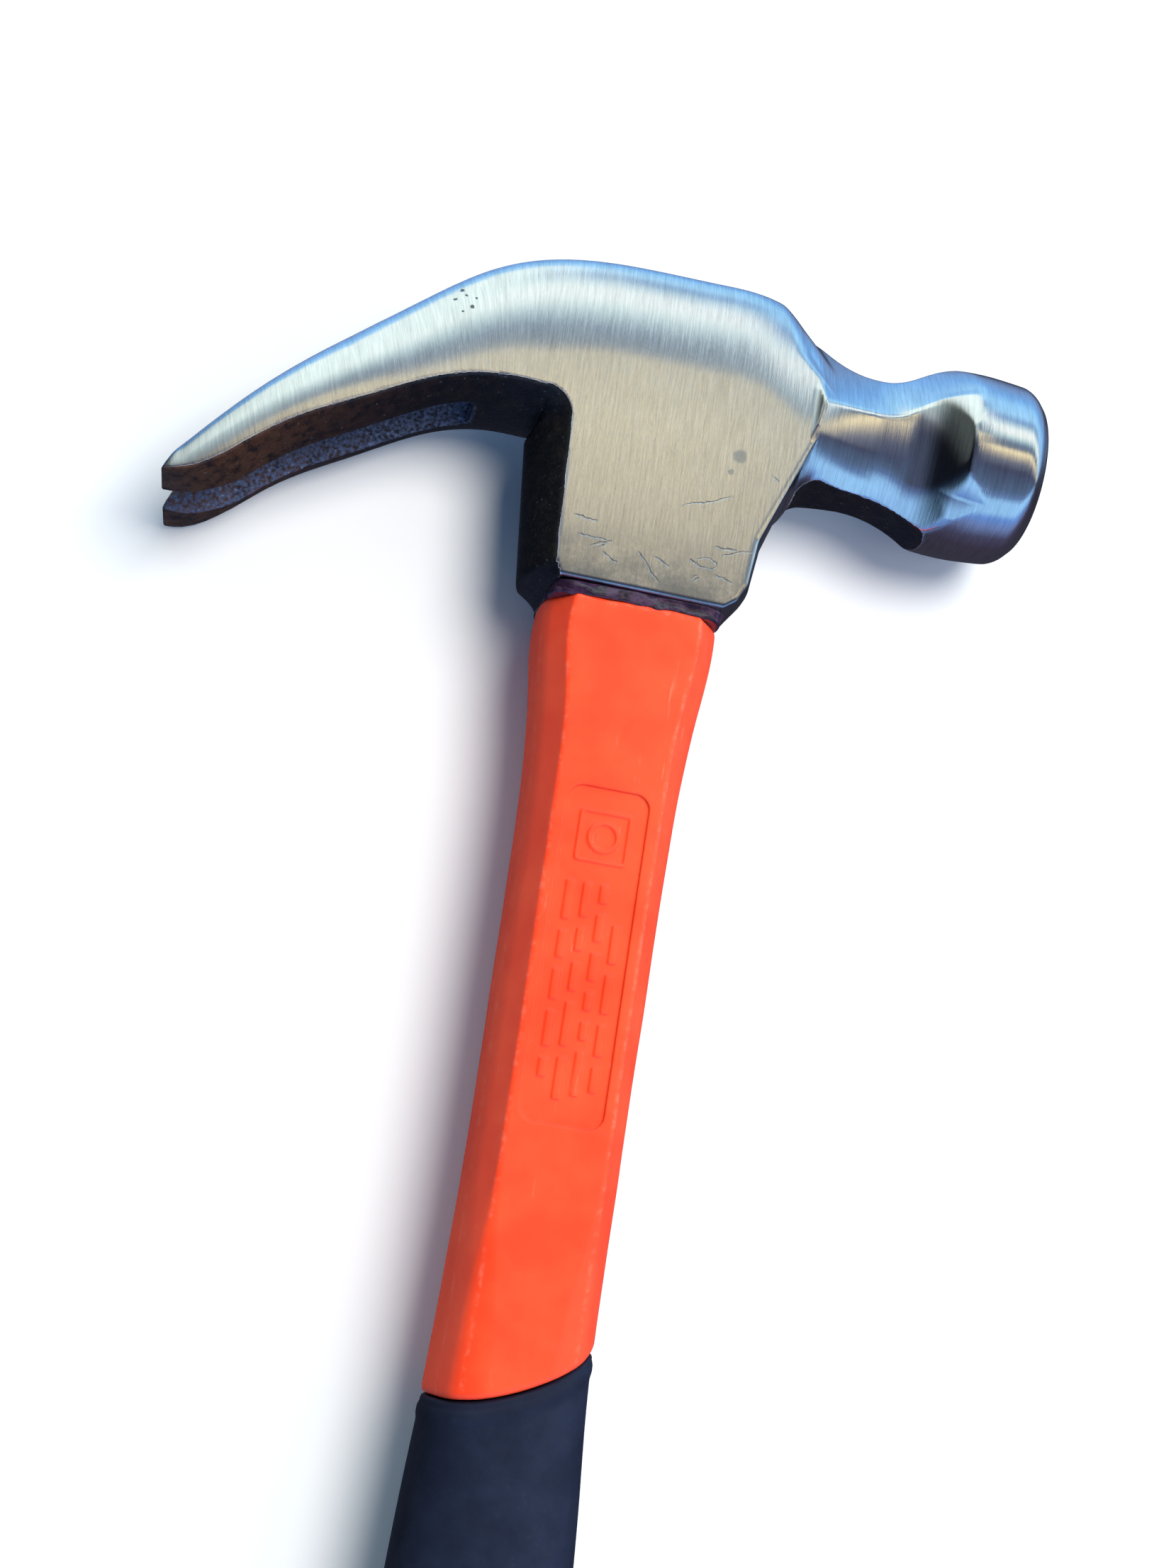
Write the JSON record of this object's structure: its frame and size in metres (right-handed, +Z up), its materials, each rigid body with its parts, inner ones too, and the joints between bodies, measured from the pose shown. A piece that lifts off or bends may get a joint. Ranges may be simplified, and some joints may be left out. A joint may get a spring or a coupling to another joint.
{
  "type": "claw hammer",
  "caption": "Curved-claw hammer with a ground steel head, octagonal poll neck, fibreglass core handle, orange plastic jacket and black rubber grip.",
  "frame": {"origin": "middle of the hammer's box, on the surface it lies on", "axes": "the hammer lies on its side: +X towards the striking face, +Y up the handle to the top of the head, +Z up through the head's thickness"},
  "size_m": [0.1329, 0.3301, 0.0298],
  "materials": {
    "forged_steel": "ground and brushed cheeks, dark forged underside and slot",
    "fibreglass": "pultruded glass fibre in resin, matt",
    "cast_resin": "cast, glossy",
    "dark_adhesive": "uneven glossy bead",
    "orange_plastic": "moulded, satin, lightly scuffed",
    "black_rubber": "moulded, matt"
  },
  "bodies": {
    "root": {"hammer_head": "forged_steel", "fibreglass_core": "fibreglass", "epoxy_fill": "cast_resin", "adhesive_bead": "dark_adhesive", "handle_jacket": "orange_plastic", "grip": "black_rubber"}
  },
  "joints": []
}
